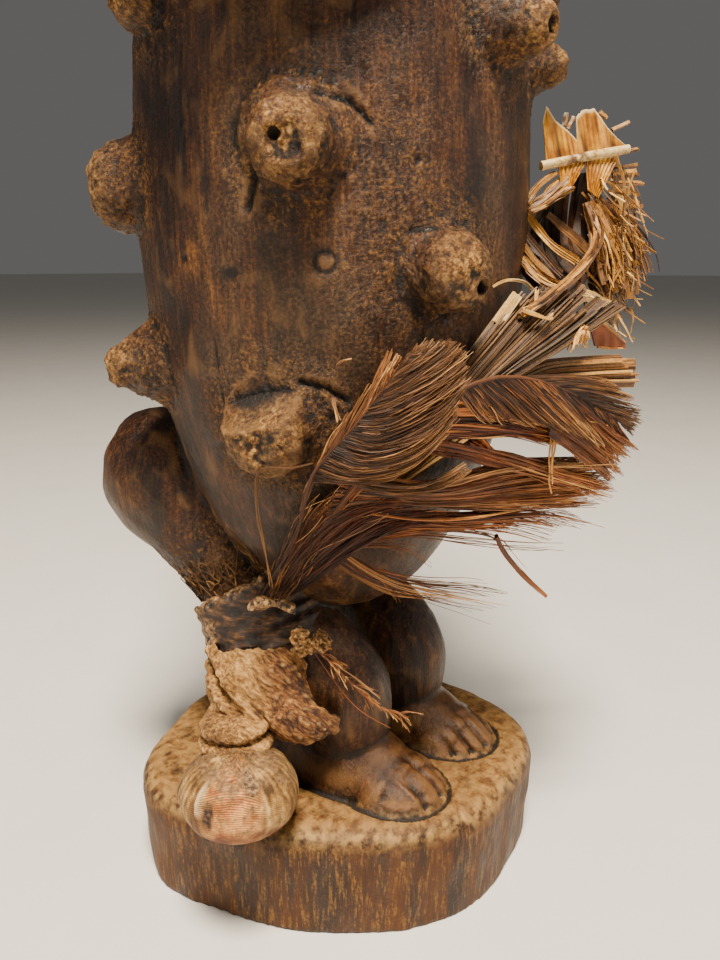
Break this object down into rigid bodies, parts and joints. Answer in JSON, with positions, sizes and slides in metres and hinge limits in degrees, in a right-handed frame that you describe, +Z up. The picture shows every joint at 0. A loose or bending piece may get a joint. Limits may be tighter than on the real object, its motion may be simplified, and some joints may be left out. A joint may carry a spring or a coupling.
{
  "type": "power figure",
  "caption": "Standing carved wooden power figure on an oval base, with bent legs, a bossed barrel body and a bound charm of cloth, feathers and straw on the right leg",
  "frame": {"origin": "centre of the base's underside", "axes": "+Z up, the figure faces -Y, +X is the figure's left"},
  "size_m": [0.1596, 0.1743, 0.459],
  "materials": {
    "carved_wood": "dark oiled carving, worn and dusty",
    "dark_cloth": "dark blackened cloth",
    "crusted_cloth": "cloth under a dry pale crust",
    "striped_cloth": "fine striped cloth, stained",
    "feather": "brown feather, ragged",
    "palm": "dry palm strip",
    "straw": "dry straw",
    "leaf": "dry folded leaf"
  },
  "bodies": {
    "root": {"carved_figure": "carved_wood", "leg_wrap_band": "dark_cloth", "leg_wrap_cloth": "crusted_cloth", "charm_binding": "crusted_cloth", "charm_ball": "striped_cloth", "wrap_knot": "crusted_cloth", "feather_front": "feather", "feather_long": "feather", "feather_middle": "feather", "feather_low": "feather", "down_feather": "feather", "cut_strips": "palm", "palm_strips": "palm", "straw_tuft": "straw", "palm_leaf": "leaf", "reed": "straw"}
  },
  "joints": []
}
